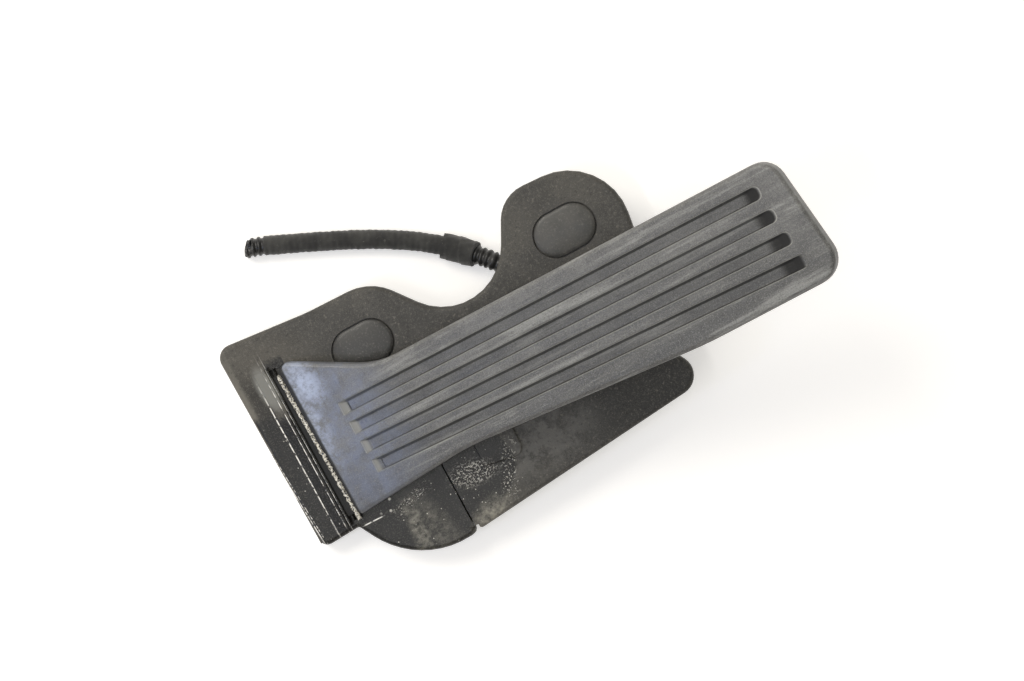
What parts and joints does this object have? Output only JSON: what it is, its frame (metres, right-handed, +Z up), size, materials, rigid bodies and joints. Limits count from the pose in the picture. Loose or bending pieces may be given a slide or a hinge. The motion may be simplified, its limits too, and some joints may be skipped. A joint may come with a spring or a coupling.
{
  "type": "accelerator pedal",
  "caption": "Floor-hinged accelerator pedal: long grooved pad hinged on a stepped base plate with bolt caps, sprung lever, position sensor and a taped harness stub.",
  "frame": {"origin": "on the axis of the lower mounting hole, at the floor face (Z = 0)", "axes": "+X along the pad from its hinge to its free end, +Y toward the mounting ears and the harness, +Z up from the floor face; the mounting studs leave along -Z"},
  "size_m": [0.248, 0.1622, 0.1089],
  "materials": {
    "base_plastic": "glass-filled, fine grain",
    "pad_plastic": "satin, worn smooth",
    "cap_plastic": "satin",
    "sensor_plastic": "satin",
    "lever_plastic": "satin",
    "bush_plastic": "natural acetal",
    "stop_rubber": "matt",
    "cloth_tape": "woven harness tape over corrugated tube",
    "zinc_steel": "zinc plated",
    "spring_steel": "oiled spring steel",
    "magnet": "nickel plated"
  },
  "bodies": {
    "base": {"base_plate": "base_plastic", "side_wing": "base_plastic", "hinge_retainer": "base_plastic", "lower_bolt_cap": "cap_plastic", "upper_bolt_cap": "cap_plastic", "lower_mounting_sleeve": "zinc_steel", "upper_mounting_sleeve": "zinc_steel", "mechanism_housing": "base_plastic", "housing_screws": "zinc_steel", "wing_screws": "zinc_steel", "shaft_bush_left": "bush_plastic", "shaft_bush_right": "bush_plastic", "return_spring_left": "spring_steel", "return_spring_right": "spring_steel", "idle_stop": "stop_rubber", "full_stroke_bumper": "stop_rubber", "position_sensor": "sensor_plastic", "sensor_screws": "zinc_steel", "harness_plug": "sensor_plastic", "plug_grommet": "stop_rubber", "harness_conduit": "cloth_tape", "tape_collar": "cloth_tape"},
    "pad": {"pedal_pad": "pad_plastic"},
    "lever": {"lever": "lever_plastic", "lever_shaft": "zinc_steel", "shaft_magnet": "magnet", "shaft_circlip": "spring_steel", "roller_pin": "zinc_steel"},
    "roller": {"roller": "bush_plastic"}
  },
  "joints": [
    {"name": "pad_hinge", "type": "hinge", "parent": "base", "child": "pad", "pos_m": [-0.0402, -0.028, 0.0143], "axis": [0, 1, 0], "range_deg": [0, 12], "stiffness_Nm_per_rad": 6, "springref_deg": -20.05},
    {"name": "lever_turn", "type": "hinge", "parent": "base", "child": "lever", "pos_m": [0.094, -0.035, 0.016], "axis": [0, -1, 0], "range_deg": [0, 16.2], "deforming": ["return_spring_left", "return_spring_right"]},
    {"name": "roller_spin", "type": "hinge", "parent": "lever", "child": "roller", "pos_m": [0.0366, -0.035, 0.0243], "axis": [0, 1, 0], "continuous": true}
  ],
  "couplings": [
    {"joint": "lever_turn", "follows": "pad_hinge", "ratio": 1.3433}
  ]
}
